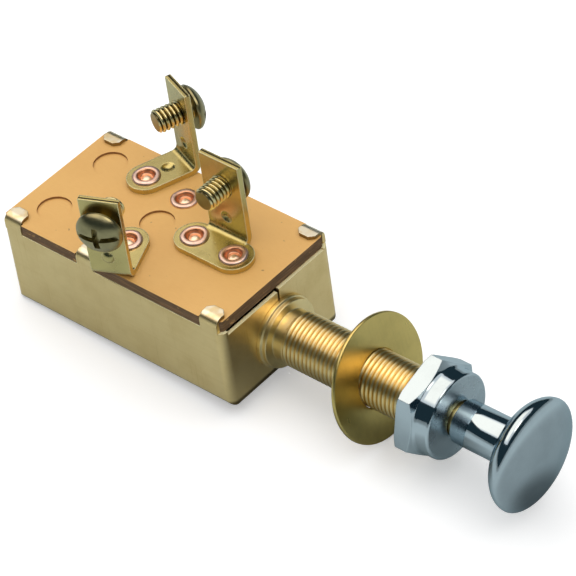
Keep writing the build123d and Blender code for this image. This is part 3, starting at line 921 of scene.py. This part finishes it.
def disc(radius, lift=0.0, curl=0.0):
    """Grid of a round sheet on the table, whose outer half may curl up by curl (2 r / R - 1)^2."""
    r = np.linspace(1e-4, radius, 24)[:, None]
    angle = around(64)
    x = r * np.cos(angle)
    sweep = curl * np.maximum(2.0 * r / radius - 1.0, 0.0) ** 2
    return np.stack((x, r * np.sin(angle), floor_height(x) + lift + sweep), axis=-1)


def paper_table(stage):
    """White table, a little brighter to the eye and in metal than in the light that it gives back."""
    shade = Shade("table_paper")
    plain = shade.node("ShaderNodeBsdfDiffuse", {}, {"Color": stage.paper})
    lift = shade.node("ShaderNodeEmission", {}, {"Color": WHITE, "Strength": stage.paper_lift})
    bright = shade.node("ShaderNodeAddShader", {}, {0: plain, 1: lift})
    seen = shade.seen_by("Camera", "Glossy", "Transmission")
    mixed = shade.node("ShaderNodeMixShader", {}, {0: seen, 1: plain, 2: bright})
    shade.feed(shade.tree.nodes["Material Output"].inputs["Surface"], mixed)
    stage_sheet("table", disc(TABLE_RADIUS), True, shade.owner)


def table_card(stage):
    """Grey sheet on the table that only metal shows, with painted shadow patches and a rim that curls up."""
    shade = Shade("table_card_grey")
    shade.unpolished()
    level = 1.0
    # Painted shadow: the grey darkens around each patch's middle
    for x, y, inner, outer, share in PAINTED_SHADOW_PATCHES:
        middle = (x * MM, y * MM, floor_height(x * MM))
        away = shade.measure("DISTANCE", shade.place(), middle)
        level = level * (share + (1.0 - share) * away.step(inner * MM, outer * MM))
    grey = shade.finish(base_color=shade.blend(level, BLACK, stage.table_grey), roughness=1.0)
    only_in_gloss(stage_sheet("table_card", disc(ROOM_RADIUS, lift=0.02 * MM, curl=0.20), True, grey))


def dark_room(stage):
    """Dome round the table that only metal shows: dark, and paler at its top."""
    shade = Shade("room_dark")
    height = shade.axes(shade.place())[2]
    dark = shade.shine(shade.blend(height.step(1.0, ROOM_RADIUS), stage.room, stage.room_top))
    sunk = -0.12
    rise = np.linspace(sunk, 0.5 * math.pi, 40)[:, None]
    radius = ROOM_RADIUS * np.maximum(np.cos(rise), ON_AXIS)
    dome = upright(turned(ROOM_RADIUS * np.sin(rise), radius, around(96)))
    only_in_gloss(stage_sheet("room", dome, True, dark))


def surroundings(context, stage):
    """White world: full to the eye and in metal, dimmed as a light."""
    world = Shade("studio", "worlds")
    background = world.tree.nodes["Background"]
    world.feed(background.inputs["Color"], WHITE)
    level = stage.fill + (1.0 - stage.fill) * world.seen_by("Camera", "Glossy")
    world.feed(background.inputs["Strength"], level)
    context.scene.world = world.owner


def overhead_panel(context, stage):
    """Lamp over the table, which metal shows as the panel's cloth instead."""
    lamp = bpy.data.lights.new("overhead_panel", "AREA")
    lamp.shape = "RECTANGLE"
    lamp.size, lamp.size_y = PANEL_SIDES
    lamp.energy = stage.softbox * math.pi * lamp.size * lamp.size_y
    holder = bpy.data.objects.new("overhead_panel", lamp)
    holder.location = PANEL_PLACE
    holder.visible_glossy = False
    context.scene.collection.objects.link(holder)


def panel_cloth(stage):
    """Cloth of the panel that only metal shows: warm in the middle, dimmer at its rim, brightest in front."""
    shade = Shade("panel_sheen")
    along, across, _ = shade.axes(shade.place())
    rim = along.step(-0.10, 0.15).either(abs(across).step(0.45, 0.66))
    front = along.step(0.10, 0.35) * (1.0 - abs(across).step(0.08, 0.25))
    level = shade.blend(rim, stage.sheen_middle, stage.sheen_edge)
    cloth = shade.shine(shade.blend(front, level, stage.sheen_front))
    x, y = (PANEL_PLACE[axis] + np.linspace(-0.5, 0.5, 12) * PANEL_SIDES[axis] for axis in (0, 1))
    sheet = np.stack(np.broadcast_arrays(x[:, None], y[None, :], PANEL_PLACE[2]), axis=-1)
    only_in_gloss(stage_sheet("panel_cloth", sheet, False, cloth))


def camera(context, stage):
    """Camera at the photograph's place."""
    lens = bpy.data.cameras.new("camera")
    lens.lens = stage.lens
    lens.sensor_width = 36.0
    lens.clip_start = 0.01
    holder = bpy.data.objects.new("camera", lens)
    eye = Vector(stage.eye)
    look = (Vector(stage.aim) - eye).to_track_quat("-Z", "Y").to_matrix()
    turn = look @ Matrix.Rotation(stage.roll, 3, "Z")
    holder.matrix_world = Matrix.Translation(eye) @ turn.to_4x4()
    context.scene.collection.objects.link(holder)
    context.scene.camera = holder
    context.scene.view_settings.view_transform = "Standard"


# Operators


class SWITCH_OT_case(bpy.types.Operator):
    """Finish the folded case in satin rolled brass"""

    bl_idname = "switch.case"
    bl_label = "Case"

    def execute(self, context):
        brass = rolled_sheet("case_sheet", finishes().case_brass, finishes().case_stain, base_roughness=0.34,
                             grain=(30.0, 1400.0, 1400.0), edge=0.22 * MM, piece_marks=case_wear_and_painted_light)
        dress("case", brass)
        return {"FINISHED"}


class SWITCH_OT_board(bpy.types.Operator):
    """Finish the fibre board"""

    bl_idname = "switch.board"
    bl_label = "Terminal board"

    def execute(self, context):
        dress("terminal_board", fibre_board())
        return {"FINISHED"}


class SWITCH_OT_stem(bpy.types.Operator):
    """Cut the stem's thread, and finish the stem, the shaft and the washer"""

    bl_idname = "switch.stem"
    bl_label = "Stem, shaft and washer"

    def execute(self, context):
        bright = finishes().stem_brass
        brass = turned_metal("turned_brass", bright, scaled(bright, 0.86), 0.30, finishes().stem_groove_shade)
        points, depth = stem_surface()
        stem = join_grids("stem_threaded", [(points, True, True, 0)], [brass], attributes={"groove": depth})
        stand_for(stem, "stem_bushing")
        dress("plunger_shaft", brass)
        flat = finishes().washer_brass
        washer_piece(rolled_sheet("washer_sheet", flat, scaled(flat, 0.72), base_roughness=0.30,
                                  grain=(900.0, 1600.0, 60.0), edge=0.15 * MM))
        return {"FINISHED"}


class SWITCH_OT_plating(bpy.types.Operator):
    """Make the plated nut and knob"""

    bl_idname = "switch.plating"
    bl_label = "Nut and knob"

    def execute(self, context):
        mirror = plating("polished_plating", 0.05, 0.05)
        satin = plating("satin_plating", 0.26, 0.10)
        nut_piece([mirror, satin])
        knob_piece(mirror)
        return {"FINISHED"}


class SWITCH_OT_terminals(bpy.types.Operator):
    """Finish the brackets and make their screws"""

    bl_idname = "switch.terminals"
    bl_label = "Terminals"

    def execute(self, context):
        bright = finishes().terminal_brass
        head = finishes().screw_metal
        thread = finishes().screw_thread
        metals = [turned_metal("screw_head_metal", head, scaled(head, 0.6), 0.30),
                  turned_metal("screw_thread_metal", thread, scaled(thread, 0.75), 0.24,
                               finishes().screw_groove_shade)]
        for side in SIDES:
            # Brackets: a strong painted edge highlight, and the torn line along their top edge
            brass = rolled_sheet(f"{side}_terminal_sheet", bright, scaled(bright, 0.7), base_roughness=0.26,
                                 grain=(700.0, 700.0, 120.0), edge=0.32 * MM, streak_depth=0.7,
                                 piece_marks=sheared_top(side), edge_highlight_share=0.9)
            dress(f"{side}_terminal", brass)
            screw_piece(side, metals)
        return {"FINISHED"}


class SWITCH_OT_rivets(bpy.types.Operator):
    """Make the rivets with their rolled rims"""

    bl_idname = "switch.rivets"
    bl_label = "Rivets"

    def execute(self, context):
        copper = copper_metal()
        for node in RIVETS:
            rivet_piece(node, copper)
        return {"FINISHED"}


class SWITCH_OT_inner_works(bpy.types.Operator):
    """Finish the slide block, the contact bridge and its spring"""

    bl_idname = "switch.inner_works"
    bl_label = "Inner works"

    def execute(self, context):
        dress("slide_block", moulded_block())
        dress("contact_bridge", plain_copper())
        wire = finishes().wire
        dress("bridge_spring", turned_metal("spring_wire", wire, scaled(wire, 0.75), 0.28))
        return {"FINISHED"}


class SWITCH_OT_stage(bpy.types.Operator):
    """Lay out the table, lamps, cards and camera"""

    bl_idname = "switch.stage"
    bl_label = "Studio"

    def execute(self, context):
        stage = context.scene.switch_stage
        paper_table(stage)
        table_card(stage)
        dark_room(stage)
        surroundings(context, stage)
        overhead_panel(context, stage)
        panel_cloth(stage)
        camera(context, stage)
        return {"FINISHED"}


class SWITCH_PT_panel(bpy.types.Panel):
    """Sizes, colours and steps of the switch"""

    bl_idname = "SWITCH_PT_panel"
    bl_label = "Push-pull switch"
    bl_space_type = "VIEW_3D"
    bl_region_type = "UI"
    bl_category = "Switch"

    def draw(self, context):
        for group in (context.scene.switch_sizes, context.scene.switch_finishes, context.scene.switch_stage):
            box = self.layout.box()
            for name in group.__annotations__:
                box.prop(group, name)
        for operator in OPERATORS:
            self.layout.operator(operator.bl_idname)


OPERATORS = (SWITCH_OT_case, SWITCH_OT_board, SWITCH_OT_stem, SWITCH_OT_plating, SWITCH_OT_terminals,
             SWITCH_OT_rivets, SWITCH_OT_inner_works, SWITCH_OT_stage)
GROUPS = {"switch_sizes": SwitchSizes, "switch_finishes": SwitchFinishes, "switch_stage": SwitchStage}


def register():
    """Register the classes and hang the settings on the scene."""
    for part in (*GROUPS.values(), *OPERATORS, SWITCH_PT_panel):
        bpy.utils.register_class(part)
    for name, group in GROUPS.items():
        setattr(bpy.types.Scene, name, bpy.props.PointerProperty(type=group))


def unregister():
    """Take the settings and classes away again."""
    for name in GROUPS:
        delattr(bpy.types.Scene, name)
    for part in reversed((*GROUPS.values(), *OPERATORS, SWITCH_PT_panel)):
        bpy.utils.unregister_class(part)


def main():
    """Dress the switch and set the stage."""
    register()
    for operator in OPERATORS:
        group, name = operator.bl_idname.split(".")
        getattr(getattr(bpy.ops, group), name)()


if __name__ == "__main__":
    main()
